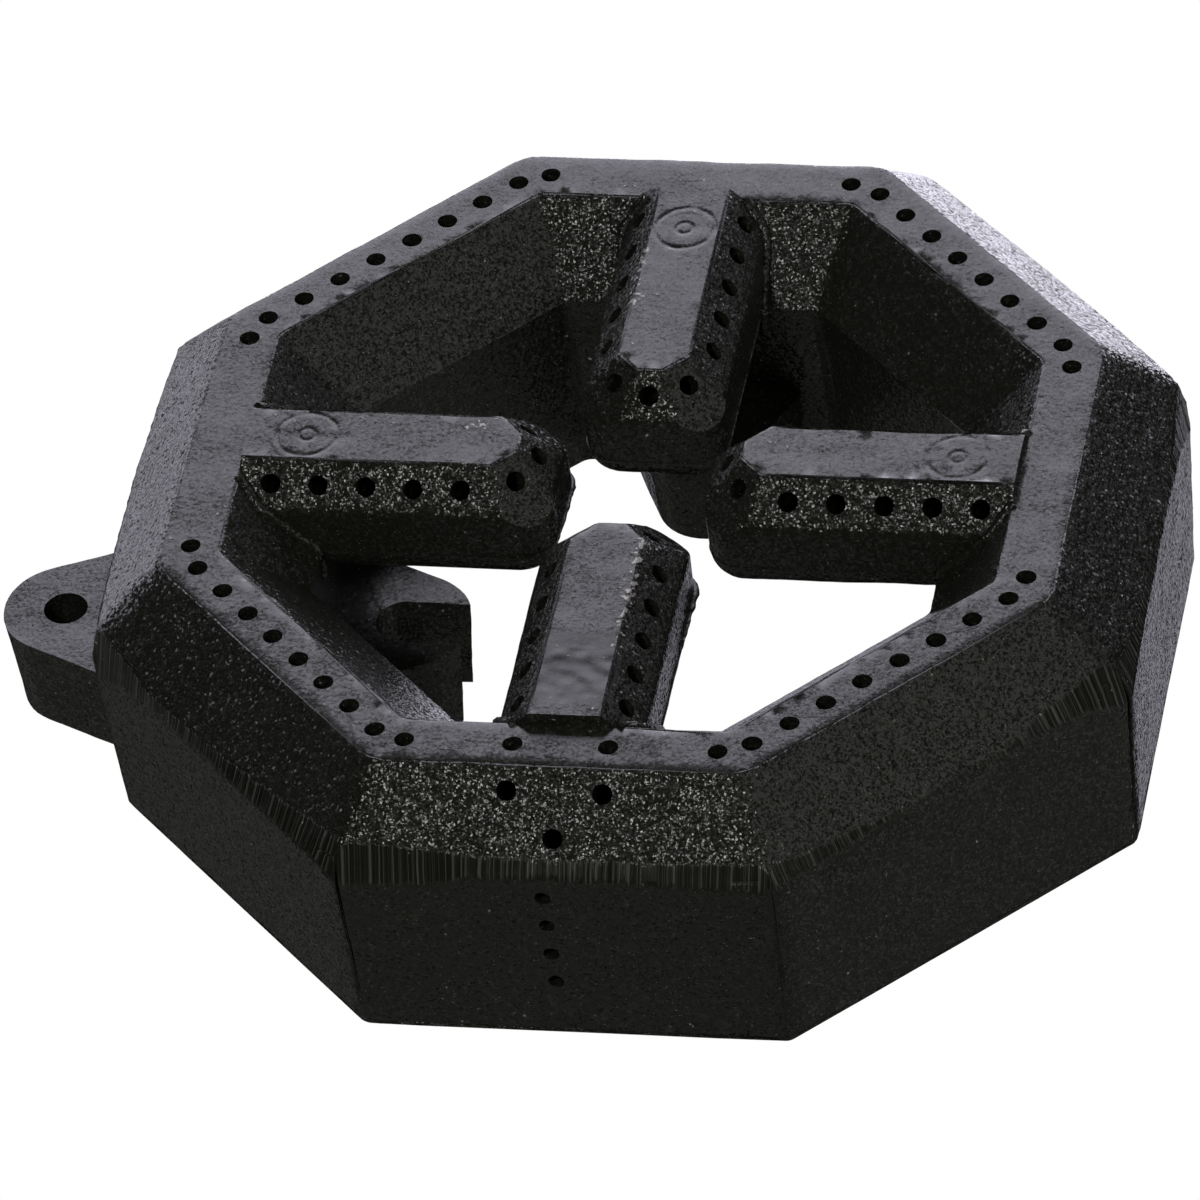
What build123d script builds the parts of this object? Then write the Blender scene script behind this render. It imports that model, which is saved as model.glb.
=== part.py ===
from build123d import *

import os
from math import cos, radians, sqrt, tan

# Octagonal gas burner head: one hollow iron casting, a ring with four fingers that point at its centre.
# The origin is on the octagon's axis, in the plane of the base. +Z is up, the side with the pilot ports
# faces -Y, and the gas inlet and its two flange lugs are on the -X side. Lengths are in millimetres.

# Ring
across_flats = 166.0
ring_height = 47.8
parting_height = 35.6
wall_draw = 1.7
land_width = 9.1
corner_radius = 2.5
edge_radius = 1.4
base_edge_radius = 2.0
inner_edge_radius = 1.0

# Casting thickness round the hollow gas chamber
wall = 4.5
floor = 5.0

# Fingers
finger_width = 23.2
finger_depth = 19.5
finger_rise = 2.2
finger_bevel = 5.9
finger_tip_gap = 24.2
finger_tip_facet = 7.1
finger_tip_radius = 6.0
finger_underside_radius = 5.0
finger_edge_radius = 0.8

# Ports
port_diameter = 3.175
port_pitch = 7.0
ports_per_side = 8
finger_port_pitch = 7.62
finger_ports_per_side = 5
finger_port_setback = 5.1

# Pilot ports on the front side, which carry the flame up from the pilot
pilot_spacing = 15.0
pilot_upper_drop = 2.9
pilot_lower_drop = 7.9
ladder_diameter = 2.5
ladder_ports = 4
ladder_pitch = 6.2
ladder_top_drop = 16.7
ladder_shift = -1.8

# Gas inlet in the floor of the left side
inlet_diameter = 20.0
inlet_shift = -7.0

# Lugs: two for the flange of the inlet's mixing tube, one of them slotted, and a support lug at the back
lug_height = 17.0
lug_draft = 4.5
lug_flare = 20.0
lug_root_bite = 4.0
lug_radius = 10.0
lug_hole_diameter = 7.1
outer_lug_reach = 12.8
slotted_lug_radius = 11.0
slotted_lug_reach = 10.5
lug_slot_width = 9.0
back_lug_reach = 7.7
back_lug_shift = 1.0

# Sizes that follow from those above
octagon_sides = 8
half_side_angle = 180.0 / octagon_sides
flatness = edge_radius / 10
finger_count = 4
bevel = ring_height - parting_height
outer_apothem = across_flats / 2
base_apothem = outer_apothem - wall_draw
land_outer = outer_apothem - bevel
land_inner = land_outer - land_width
opening_apothem = land_inner - bevel
port_line = land_inner + land_width / 2
port_radius = port_diameter / 2
end_port_span = (ports_per_side - 1) * port_pitch
finger_top = ring_height + finger_rise
finger_bottom = finger_top - finger_depth
finger_tip = finger_tip_gap / 2
chamber_roof = ring_height - wall
inlet_x = -port_line

# The inner faces of a wall and of a 45 degree bevel meet lower than their outer faces do, and a facet
# between two sides that move in gets shorter
bevel_foot_shift = (sqrt(2) - 1) * wall
facet_shrink = 2 - sqrt(2)


def octagon(apothem, height, rounded):
    """Flat octagon, its sides facing along X, Y and the diagonals, with rounded or sharp corners."""
    with BuildSketch(Plane.XY.offset(height)) as outline:
        RegularPolygon(apothem, octagon_sides, major_radius=False, rotation=half_side_angle)
        if rounded:
            fillet(outline.vertices(), corner_radius)
    return outline.sketch


def octagon_stack(levels, rounded, mode=Mode.ADD):
    """Straight-sided octagonal form through the given pairs of apothem and height."""
    for (lower, base), (upper, top) in zip(levels, levels[1:]):
        loft([octagon(lower, base, rounded), octagon(upper, top, rounded)], ruled=True, mode=mode)


def level_edges(part, height):
    """Edges of a part that lie flat at the given height."""
    return part.edges().filter_by_position(Axis.Z, height, height).filter_by(
        lambda edge: edge.bounding_box().size.Z < flatness
    )


def finger_outline(inset, root, height):
    """Plan of a finger along +X with a half octagon for its tip, drawn in by the inset at its sides."""
    half_width = finger_width / 2 - inset
    tip = finger_tip + inset
    facet = finger_tip_facet - facet_shrink * inset
    side = [(root, half_width), (tip + facet, half_width), (tip, half_width - facet)]
    other_side = [(x, -y) for x, y in reversed(side)]
    with BuildSketch(Plane.XY.offset(height)) as outline:
        with BuildLine():
            Polyline(*side, *other_side, close=True)
        make_face()
    return outline.sketch


def lug_outline(radius, reach):
    """Plan of a lug whose eye is at the origin, flaring out along +X into the wall that carries it."""
    root = reach + lug_root_bite
    root_half_width = radius / cos(radians(lug_flare)) + root * tan(radians(lug_flare))
    with BuildSketch() as outline:
        Circle(radius)
        with Locations((root, 0)):
            Rectangle(lug_root_bite, 2 * root_half_width, align=(Align.MAX, Align.CENTER))
        make_hull()
    return outline.sketch


# One finger with its ports, along +X: a bar with a rounded nose, cut by the flat bevels of its top
with BuildPart() as finger:
    with BuildSketch(Plane.XY.offset(finger_bottom)) as bar_plan:
        with Locations((finger_tip, 0)):
            Rectangle(land_inner - finger_tip, finger_width, align=(Align.MIN, Align.CENTER))
        fillet(bar_plan.vertices().group_by(Axis.X)[0], finger_tip_radius)
    extrude(amount=finger_depth)

    # The bevels of the two sides, of the two facets at the tip and of the end, each placed half way up it
    bevel_middle = finger_top - finger_bevel / 2
    row_centre = land_inner - finger_port_setback - (finger_ports_per_side - 1) * finger_port_pitch / 2
    row_offset = (finger_width - finger_bevel) / 2
    facet_middle = (finger_tip_facet + finger_bevel / sqrt(2)) / 2
    facet_x = finger_tip + facet_middle
    facet_offset = finger_width / 2 - facet_middle
    side_bevels = [
        Plane((row_centre, side * row_offset, bevel_middle), x_dir=(1, 0, 0), z_dir=(0, side, 1))
        for side in (-1, 1)
    ]
    tip_bevels = [
        Plane((facet_x, side * facet_offset, bevel_middle), z_dir=(-1, side, sqrt(2))) for side in (-1, 1)
    ]
    tip_bevels.append(Plane((finger_tip + finger_bevel / 2, 0, bevel_middle), z_dir=(-1, 0, 1)))
    for bevel_plane in side_bevels + tip_bevels:
        split(bisect_by=bevel_plane, keep=Keep.BOTTOM)
    fillet(level_edges(finger, finger_top).sort_by(Axis.X)[:-1], finger_edge_radius)
    fillet(level_edges(finger, finger_bottom).sort_by(Axis.X)[:-1], finger_underside_radius)

    # Ports square to the bevels: a row on each side, and one on each bevel of the tip
    port_reach = (bevel_middle - chamber_roof) * sqrt(2) + port_diameter
    with BuildSketch(*side_bevels):
        with GridLocations(finger_port_pitch, port_pitch, finger_ports_per_side, 1):
            Circle(port_radius)
    with BuildSketch(*tip_bevels):
        Circle(port_radius)
    extrude(amount=-port_reach, mode=Mode.SUBTRACT)

# Hollow of one finger, which runs on into the hollow of the ring
with BuildPart() as finger_core:
    core_floor = finger_bottom + wall
    extrude(finger_outline(wall, port_line, core_floor), amount=chamber_roof - core_floor)

# Gas chamber, the shape of the sand core: the hollow of the ring and of its fingers, and the inlet
with BuildPart() as chamber:
    draw_at_floor = wall_draw * (1 - floor / parting_height)
    chamber_shoulder = parting_height - bevel_foot_shift
    octagon_stack([
        (outer_apothem - draw_at_floor - wall, floor),
        (outer_apothem - wall, chamber_shoulder),
        (land_outer - bevel_foot_shift, chamber_roof),
    ], rounded=False)
    octagon_stack([
        (opening_apothem + draw_at_floor + wall, floor),
        (opening_apothem + wall, chamber_shoulder),
        (land_inner + bevel_foot_shift, chamber_roof),
    ], rounded=False, mode=Mode.SUBTRACT)
    with PolarLocations(0, finger_count):
        add(finger_core.part)
    with BuildSketch():
        with Locations((inlet_x, inlet_shift)):
            Circle(inlet_diameter / 2)
    extrude(amount=floor + wall)

with BuildPart() as burner_head:
    # Ring: drawn in below the parting plane, bevelled inside and out above it
    octagon_stack(
        [(base_apothem, 0), (outer_apothem, parting_height), (land_outer, ring_height)],
        rounded=True,
    )
    fillet(level_edges(burner_head, ring_height) + level_edges(burner_head, parting_height), edge_radius)
    fillet(level_edges(burner_head, 0), base_edge_radius)
    octagon_stack(
        [(opening_apothem + wall_draw, 0), (opening_apothem, parting_height), (land_inner, ring_height)],
        rounded=True,
        mode=Mode.SUBTRACT,
    )
    land_edges = level_edges(burner_head, ring_height).sort_by_distance((0, 0, ring_height))
    fillet(land_edges[:2 * octagon_sides], inner_edge_radius)
    with PolarLocations(0, finger_count):
        add(finger.part)

    # Lugs, standing on the base plane, drawn from their tops
    outer_eye = (-(base_apothem + outer_lug_reach), inlet_shift, lug_height)
    slotted_eye = (-(opening_apothem - slotted_lug_reach), inlet_shift, lug_height)
    back_eye = (back_lug_shift, opening_apothem - back_lug_reach, lug_height)
    outer_lug = Plane(outer_eye, x_dir=(1, 0, 0))
    slotted_lug = Plane(slotted_eye, x_dir=(-1, 0, 0))
    back_lug = Plane(back_eye, x_dir=(0, 1, 0))
    lugs = (
        (outer_lug, lug_radius, outer_lug_reach),
        (slotted_lug, slotted_lug_radius, slotted_lug_reach),
        (back_lug, lug_radius, back_lug_reach),
    )
    for eye, radius, reach in lugs:
        with BuildSketch(eye):
            add(lug_outline(radius, reach))
        extrude(amount=-lug_height, taper=lug_draft)
    with BuildSketch(outer_lug, back_lug):
        Circle(lug_hole_diameter / 2)
    extrude(amount=-lug_height, mode=Mode.SUBTRACT)
    with BuildSketch(slotted_lug):
        Circle(lug_slot_width / 2)
        Rectangle(2 * slotted_lug_radius, lug_slot_width, align=(Align.MAX, Align.CENTER))
    extrude(amount=-lug_height, mode=Mode.SUBTRACT)

    add(chamber.part, mode=Mode.SUBTRACT)

    # Ring ports: a full row on each diagonal side, and one at each end of the other sides
    with BuildSketch(Plane.XY.offset(ring_height)):
        with PolarLocations(port_line, finger_count, start_angle=2 * half_side_angle):
            with GridLocations(port_pitch, port_pitch, 1, ports_per_side):
                Circle(port_radius)
        with PolarLocations(port_line, finger_count):
            with GridLocations(port_pitch, end_port_span, 1, 2):
                Circle(port_radius)
        with Locations((0, -port_line)):
            with GridLocations(pilot_spacing, port_pitch, 2, 1):
                Circle(port_radius)
    extrude(amount=-(wall + port_diameter), mode=Mode.SUBTRACT)

    # Pilot ports down the front: a pair and a single one square to the bevel, then a ladder in the wall
    front_bevel = Plane((0, -land_outer, ring_height), x_dir=(1, 0, 0), z_dir=(0, -1, 1))
    with BuildSketch(front_bevel):
        with Locations((0, -pilot_upper_drop * sqrt(2))):
            with GridLocations(pilot_spacing, port_pitch, 2, 1):
                Circle(port_radius)
        with Locations((0, -pilot_lower_drop * sqrt(2))):
            Circle(port_radius)
    extrude(amount=-(wall + port_diameter), mode=Mode.SUBTRACT)
    ladder_middle = ring_height - ladder_top_drop - (ladder_ports - 1) * ladder_pitch / 2
    front_wall = Plane((ladder_shift, -outer_apothem, ladder_middle), x_dir=(1, 0, 0), z_dir=(0, -1, 0))
    with BuildSketch(front_wall):
        with GridLocations(ladder_pitch, ladder_pitch, 1, ladder_ports):
            Circle(ladder_diameter / 2)
    extrude(amount=-(wall_draw + wall + ladder_diameter), mode=Mode.SUBTRACT)

burner_head.part.label = "burner_head"
os.makedirs("parts", exist_ok=True)
export_step(burner_head.part, "parts/burner_head.step")
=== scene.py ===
"""Dresses the cast iron burner head: the sand cast surface, its flash and root fillets, and the stage."""

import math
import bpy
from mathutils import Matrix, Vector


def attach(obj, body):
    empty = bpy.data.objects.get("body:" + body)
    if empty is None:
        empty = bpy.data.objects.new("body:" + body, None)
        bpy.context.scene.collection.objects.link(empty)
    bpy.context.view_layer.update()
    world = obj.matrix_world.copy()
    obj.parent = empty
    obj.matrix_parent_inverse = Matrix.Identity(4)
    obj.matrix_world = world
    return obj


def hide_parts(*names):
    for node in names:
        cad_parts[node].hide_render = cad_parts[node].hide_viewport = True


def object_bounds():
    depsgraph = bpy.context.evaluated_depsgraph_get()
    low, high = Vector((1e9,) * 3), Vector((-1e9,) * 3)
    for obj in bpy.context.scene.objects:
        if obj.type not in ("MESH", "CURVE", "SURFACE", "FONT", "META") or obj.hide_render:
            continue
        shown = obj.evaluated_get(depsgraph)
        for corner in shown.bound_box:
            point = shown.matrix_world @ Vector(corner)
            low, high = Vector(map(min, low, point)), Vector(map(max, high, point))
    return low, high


bl_info = {
    "name": "Cast Iron Burner Head",
    "version": (1, 0, 0),
    "blender": (4, 5, 0),
    "location": "3D View > Sidebar > Burner Head",
    "description": "Dresses a sand cast burner head and sets up its stage",
    "category": "Object",
}

import bmesh
import bpy
import numpy as np
from bpy.props import FloatProperty, FloatVectorProperty, PointerProperty
from mathutils import Quaternion, Vector, kdtree, noise
from mathutils.bvhtree import BVHTree
from mathutils.geometry import delaunay_2d_cdt

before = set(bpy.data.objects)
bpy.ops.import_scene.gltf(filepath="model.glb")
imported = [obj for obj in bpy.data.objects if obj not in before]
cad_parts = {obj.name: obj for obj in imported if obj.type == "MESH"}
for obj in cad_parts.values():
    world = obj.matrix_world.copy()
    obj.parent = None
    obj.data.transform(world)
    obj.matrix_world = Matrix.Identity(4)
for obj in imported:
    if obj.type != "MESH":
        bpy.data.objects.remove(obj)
CAD_LOW, CAD_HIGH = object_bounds()
NODE = "burner_head"
BODY = "root"

MM = 0.001
SIDES = 8
SEED = 7

# How the mesh of the casting is refined
MERGE_DISTANCE = 0.002 * MM
THIN_EDGE = 0.001 * MM
WIDE_AREA = 20.0 * MM * MM
LONG_EDGE = 7.0 * MM
SKY_RAYS = 32
CLEAR_SKY = 0.12
GRID_SHAKE = 0.18
GRID_CLEARANCE = 0.6
LINE_CLEARANCE = 0.3
SOFT_BENDS = (math.radians(35.0), math.radians(60.0))
SHARP_ANGLE = math.radians(38.0)

# Band of fine mesh round the parting edge, and the fine margin round a core support mark
BAND_BELOW = 7.0 * MM
BAND_ABOVE = 5.0 * MM
BAND_DEPTH = 5.0 * MM
MARK_MARGIN = 1.5 * MM

# Flash ground off the parting edge. For each side, named by the way it faces: the place along it, how far
# the flat reaches up the bevel and how far down the wall, in millimetres.
PLAIN_FLAT = (
    (-34.4, 2.4, 5.0), (-24.0, 1.6, 2.0), (-8.0, 0.8, 1.0),
    (8.0, 0.9, 1.2), (24.0, 1.5, 2.2), (34.4, 2.3, 5.0),
)
GROUND_FLATS = {
    -90: ((-34.4, 3.3, 5.2), (-31.0, 3.2, 3.6), (-18.0, 2.7, 2.9), (-13.5, 2.4, 0.9), (0.0, 2.2, 0.5),
          (15.0, 2.4, 0.7), (30.0, 2.6, 1.3), (34.4, 3.1, 1.8)),
    -45: ((-34.4, 3.0, 1.4), (-28.0, 1.7, 1.0), (-18.0, 1.3, 0.7), (-8.0, 0.4, 0.4), (12.0, 0.9, 0.4),
          (19.0, 2.3, 0.5), (25.0, 2.7, 1.2), (30.5, 3.4, 3.6), (34.4, 3.1, 5.3)),
    -135: ((-34.4, 2.6, 9.0), (-26.0, 1.7, 4.0), (-16.5, 0.6, 2.0), (3.0, 1.2, 1.8), (18.5, 2.2, 1.8),
           (29.5, 3.1, 1.9), (34.4, 3.2, 4.5)),
    0: ((-34.4, 2.8, 5.0), (-24.0, 0.9, 1.5), (0.0, 0.3, 0.8), (20.0, 0.8, 2.0), (34.4, 1.9, 8.0)),
    45: PLAIN_FLAT,
    90: PLAIN_FLAT,
    135: PLAIN_FLAT,
    180: PLAIN_FLAT,
}

# Ragged edges of the ground flats: waves along a side, and how far they go up and down
RAGGED_WAVES = (1.7, 4.1)
RAGGED_RISE = 0.05 * MM
RAGGED_FALL = 0.16 * MM

# Core support marks on the finger tops, by the way the finger points, with how deep each one shows
CORE_MARKS = {0: 0.6, 90: 1.0, 180: 0.8, -90: 0.0}

# Rubbed smooth place on the front finger: its middle and its half lengths, in millimetres
RUBBED_PLACE = ((0.3, -51.0), (6.0, 7.5))

# Knocked edges of the finger tops that show bare iron, from end to end, in millimetres
BARE_EDGES = (((5.6, -19.0), (5.6, -48.0)), ((-5.6, 33.0), (-5.6, 47.0)), ((-27.0, 3.2), (-22.0, 4.2)))

# Washed mould on the front right wall: a groove and a ridge, as places along the wall and depths below its
# edge, with the width and the depth or height of each, in millimetres
WASH_SIDE = -45
WASH_GROOVE = ((8.0, -0.5), (-8.0, 1.1), (-14.0, 2.2), (-20.0, 3.2), (-26.0, 4.4))
WASH_RIDGE = ((4.0, 4.4), (-8.0, 6.0), (-18.0, 9.6), (-21.0, 13.0))
GROOVE_WIDTH = 1.2
GROOVE_DEPTH = 0.4
RIDGE_WIDTH = 1.8
RIDGE_HEIGHT = 0.16

# Unevenness of the sand: how close its broad and fine waves are, and the share of each
BROAD_WAVES = 110.0
FINE_WAVES = 420.0
BROAD_SHARE = 0.65
FINE_SHARE = 0.35

# Line where a finger meets the ring: along the finger, across it and height, in millimetres
ROOT_LINE = ((61.7, 7.9, 47.8), (58.0, 11.6, 44.1), (49.5, 11.6, 35.6), (49.8, 11.6, 30.6))

# Width of the flash in shares of its full width, and places where it is wider, or narrower with a minus:
# x, y and reach in millimetres, and the share that is added
USUAL_SWELL = 0.22
LEAST_SWELL = 0.02
FLASH_SWELLS = (
    (-36.0, 34.0, 12.0, 0.9), (-12.0, 2.0, 6.0, 1.8), (43.0, -11.6, 8.0, 0.6), (-15.0, -11.6, 5.0, 1.2),
    (11.6, -17.5, 3.0, 1.6), (0.0, 12.0, 5.0, 0.5), (36.0, 36.0, 18.0, -0.22),
)
FLASH_DROP = 0.05 * MM

# Where each layer of the iron's skin begins, and where it is full
WORN_TOP = (0.8, 0.97)
DUSTY_SAND = (0.52, 0.72)
BRIGHT_STREAKS = (0.5, 0.66)
BARE_CHIPS = (0.76, 0.84)
BARE_PULL = 0.26
RUBBED_SHARE = 0.8
# Painted glints: light grey dots in the colour of some grains stand in for glints of light. How near a grain's
# centre a dot reaches, and the kind above which a grain has one
PAINTED_GLINT_REACH = 0.26
PAINTED_GLINT_KINDS = 0.95

# Soft round lights: where each one stands, how wide it is seen from the burner, in degrees, and its radiance.
# Those below the floor are the floor's own shine.
SOFT_LIGHTS = (
    ("back_low", 95.0, -8.0, 35.0, 4.08),
    ("back_mid", 100.0, 25.0, 45.0, 2.86),
    ("back_floor", 95.0, -38.0, 35.0, 0.7),
    ("back_rake", 76.0, 5.0, 25.0, 0.9),
    ("back_left", 135.0, -5.0, 40.0, 1.21),
    ("back_right", 45.0, 30.0, 40.0, 0.31),
    ("left_floor", 165.0, -42.0, 36.0, 0.13),
    ("right_low", -5.0, -20.0, 40.0, 0.3),
    ("right_floor", -20.0, -42.0, 90.0, 0.1),
    ("front_right", -25.0, 40.0, 50.0, 0.7),
    ("front_high", -106.0, 46.0, 8.0, 47.0),
    ("front_floor", -120.0, -38.0, 70.0, 0.14),
)


class BurnerCastingSettings(bpy.types.PropertyGroup):
    """Sizes of the casting and of its surface"""
    across_flats: FloatProperty(
        name="Across Flats", description="Width of the octagon over its parting edge",
        default=0.166, unit="LENGTH")
    wall_draw: FloatProperty(
        name="Wall Draw", description="How far the outer wall leans in down to the base",
        default=0.0017, unit="LENGTH")
    parting_height: FloatProperty(
        name="Parting Height", description="Height of the parting edge", default=0.0356, unit="LENGTH")
    land_height: FloatProperty(
        name="Land Height", description="Height of the ported land", default=0.0478, unit="LENGTH")
    corner_radius: FloatProperty(
        name="Corner Radius", description="Rounding of the octagon's upright corners",
        default=0.007, unit="LENGTH")
    soft_width: FloatProperty(
        name="Soft Width", description="Width of the rounding on each side of an edge",
        default=0.0006, unit="LENGTH")
    soft_depth: FloatProperty(
        name="Soft Depth", description="How far a rounded edge lies inside the sharp one",
        default=0.00014, unit="LENGTH")
    mark_radius: FloatProperty(
        name="Mark Radius", description="Distance of the core support marks from the axis",
        default=0.052, unit="LENGTH")
    mark_ring: FloatProperty(
        name="Mark Ring", description="Radius of a core support mark", default=0.0048, unit="LENGTH")
    mark_centre: FloatProperty(
        name="Mark Centre", description="Radius of the ring in a mark's middle",
        default=0.0013, unit="LENGTH")
    mark_depth: FloatProperty(
        name="Mark Depth", description="Depth of a mark's ring", default=0.00018, unit="LENGTH")
    unevenness: FloatProperty(
        name="Unevenness", description="How far the sand let the surface move", default=0.0002, unit="LENGTH")
    shrinkage: FloatProperty(
        name="Shrinkage", description="Share by which the iron shrank in the sand",
        default=0.0014, subtype="FACTOR")
    mesh_spacing: FloatProperty(
        name="Mesh Spacing", description="Distance between points on plain faces",
        default=0.0015, unit="LENGTH")
    edge_spacing: FloatProperty(
        name="Edge Spacing", description="Distance between points near the parting edge",
        default=0.00066, unit="LENGTH")
    mark_spacing: FloatProperty(
        name="Mark Spacing", description="Distance between points in a core support mark",
        default=0.00032, unit="LENGTH")


class BurnerFlashSettings(bpy.types.PropertyGroup):
    """Sizes of the flash and of the beads at the finger roots"""
    fin_width: FloatProperty(
        name="Fin Width", description="How far the flash stands out of the casting",
        default=0.0005, unit="LENGTH")
    fin_thickness: FloatProperty(
        name="Fin Thickness", description="Half the thickness of the flash", default=0.00011, unit="LENGTH")
    bead_radius: FloatProperty(
        name="Bead Radius", description="Radius of the bead where a finger meets the ring",
        default=0.001, unit="LENGTH")
    spacing: FloatProperty(
        name="Spacing", description="Distance between points along the flash", default=0.0006, unit="LENGTH")
    raggedness: FloatProperty(
        name="Raggedness", description="Share of the width that comes and goes",
        default=0.85, subtype="FACTOR")
    bead_raggedness: FloatProperty(
        name="Bead Raggedness", description="Share of a bead's width that comes and goes", default=0.5,
        subtype="FACTOR")
    seed: FloatProperty(
        name="Seed", description="Picks another ragged edge", default=3.0)


class BurnerIronSettings(bpy.types.PropertyGroup):
    """Colours and grain of the cast iron"""
    iron_colour: FloatVectorProperty(
        name="Iron", description="Black of the cast skin",
        default=(0.0165, 0.0172, 0.0130), size=3, subtype="COLOR")
    dust_colour: FloatVectorProperty(
        name="Dust", description="Grey of the grain's worn tops",
        default=(0.034, 0.035, 0.029), size=3, subtype="COLOR")
    ground_colour: FloatVectorProperty(
        name="Ground Iron", description="Grey of the ground flats",
        default=(0.11, 0.11, 0.10), size=3, subtype="COLOR")
    # Painted glints: this light grey is painted on some grains in place of glints of light
    fleck_colour: FloatVectorProperty(
        name="Painted Glints", description="Grey of the brightest grains",
        default=(0.2, 0.2, 0.19), size=3, subtype="COLOR")
    bare_colour: FloatVectorProperty(
        name="Bare Iron", description="Grey of knocked edges",
        default=(0.6, 0.57, 0.54), size=3, subtype="COLOR")
    grain_size: FloatProperty(
        name="Grain Size", description="Width of one grain of the cast skin", default=0.0009, unit="LENGTH")
    grain_depth: FloatProperty(
        name="Grain Depth", description="Height of the grain", default=0.00025, unit="LENGTH")
    facet_size: FloatProperty(
        name="Facet Size", description="Width of one facet of the grain", default=0.0004, unit="LENGTH")
    facet_tilt: FloatProperty(
        name="Facet Tilt", description="How far the facets of the grain lean", default=0.5, subtype="FACTOR")
    swell_size: FloatProperty(
        name="Swell Size", description="Width of the broad swells in the skin", default=0.004, unit="LENGTH")
    swell_depth: FloatProperty(
        name="Swell Depth", description="Height of the broad swells in the skin",
        default=0.0001, unit="LENGTH")
    top_wear: FloatProperty(
        name="Top Wear", description="How far the level tops are worn smooth", default=0.84, subtype="FACTOR")
    scratch_size: FloatProperty(
        name="Scratch Size", description="Width of the scratches on the ground flats",
        default=0.0007, unit="LENGTH")
    scratch_depth: FloatProperty(
        name="Scratch Depth", description="Depth of the scratches on the ground flats",
        default=0.0006, unit="LENGTH")
    roughness: FloatProperty(
        name="Roughness", description="Roughness of the cast skin",
        default=0.25, min=0.0, max=1.0, subtype="FACTOR")


class BurnerStageSettings(bpy.types.PropertyGroup):
    """Camera, floor and light"""
    camera_place: FloatVectorProperty(
        name="Camera", description="Place of the camera",
        default=(0.39349, -1.48249, 1.40235), size=3, subtype="XYZ")
    camera_axis: FloatVectorProperty(
        name="Camera Axis", description="Way the camera looks", default=(-0.19431, 0.71663, -0.66984), size=3,
        subtype="DIRECTION")
    camera_roll: FloatProperty(
        name="Camera Roll", description="Turn of the camera about its axis", default=math.radians(-8.117),
        subtype="ANGLE")
    camera_lens: FloatProperty(
        name="Camera Lens", description="Focal length on a 36 mm sensor",
        default=392.1, subtype="DISTANCE_CAMERA")
    light_distance: FloatProperty(
        name="Light Distance", description="Distance of the soft lights from the burner",
        default=2.0, unit="LENGTH")
    light_strength: FloatProperty(
        name="Light Strength", description="Strength of all the soft lights together",
        default=1.0, subtype="FACTOR")
    back_tint: FloatVectorProperty(
        name="Back Tint", description="Colour of the light behind",
        default=(1.0, 0.975, 1.12), size=3, subtype="COLOR")
    front_tint: FloatVectorProperty(
        name="Front Tint", description="Colour of the light in front",
        default=(1.0, 1.0, 0.95), size=3, subtype="COLOR")
    floor_colour: FloatVectorProperty(
        name="Floor", description="Colour of the floor", default=(1.0, 1.0, 1.0), size=3, subtype="COLOR")
    floor_size: FloatProperty(
        name="Floor Size", description="Length of the floor's sides", default=12.0, unit="LENGTH")


# Mesh of the casting

def split_edge(edge, spacing):
    """Cuts an edge into even lengths near the spacing."""
    lengths = max(1, round(edge.calc_length() / spacing))
    start = edge.verts[0]
    for cut in range(lengths - 1):
        start = bmesh.utils.edge_split(edge, start, 1.0 / (lengths - cut))[1]


def flat_regions(grid, flatness=0.99998):
    """Groups of joined faces that lie in one plane."""
    taken = set()
    regions = []
    for first in grid.faces:
        if first in taken:
            continue
        taken.add(first)
        region = [first]
        for face in region:
            for edge in face.edges:
                for other in edge.link_faces:
                    if other not in taken and other.normal.dot(first.normal) > flatness:
                        taken.add(other)
                        region.append(other)
        regions.append(region)
    return regions


def is_outside(tree, region, rays):
    """Whether enough of the sky around a group of faces is clear of the casting."""
    face = max(region, key=lambda item: item.calc_area())
    start = face.calc_center_median() + face.normal * 0.01 * MM
    clear = 0
    for ray in rays:
        way = ray if ray.dot(face.normal) > 0.0 else -ray
        clear += tree.ray_cast(start, way)[0] is None
    return clear > CLEAR_SKY * len(rays)


def even_points(low, high, spacing, random):
    """Points of a slightly shaken triangular grid over a rectangle."""
    rows = np.arange(low[1], high[1], spacing * math.sqrt(0.75))
    columns = np.arange(low[0], high[0], spacing)
    across, along = np.meshgrid(columns, rows)
    across = across + np.where(np.arange(len(rows)) % 2, 0.5 * spacing, 0.0)[:, None]
    points = np.stack([across.ravel(), along.ravel()], axis=1)
    return points + random.uniform(-GRID_SHAKE, GRID_SHAKE, points.shape) * spacing


def spacing_at(points, casting):
    """Distance wanted between points: small near the parting edge and in the core support marks."""
    spacing = np.full(len(points), casting.mesh_spacing)
    reach = np.max([points @ facing(angle) for angle in GROUND_FLATS], axis=0)
    height = points[:, 2]
    low = casting.parting_height - BAND_BELOW
    high = casting.parting_height + BAND_ABOVE
    near_edge = (reach > casting.across_flats / 2 - BAND_DEPTH) & (height > low) & (height < high)
    spacing[near_edge] = casting.edge_spacing
    on_top = height > casting.land_height + 1.5 * MM
    for angle in CORE_MARKS:
        away = np.linalg.norm((points - facing(angle) * casting.mark_radius)[:, :2], axis=1)
        spacing[on_top & (away < casting.mark_ring + MARK_MARGIN)] = casting.mark_spacing
    return spacing


def facing(angle):
    """Level unit vector at an angle in degrees."""
    return np.array([math.cos(math.radians(angle)), math.sin(math.radians(angle)), 0.0])


def near_finder(points):
    """Tree that finds the nearest of some flat points."""
    finder = kdtree.KDTree(len(points))
    for number, point in enumerate(points):
        finder.insert((point[0], point[1], 0.0), number)
    finder.balance()
    return finder


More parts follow.
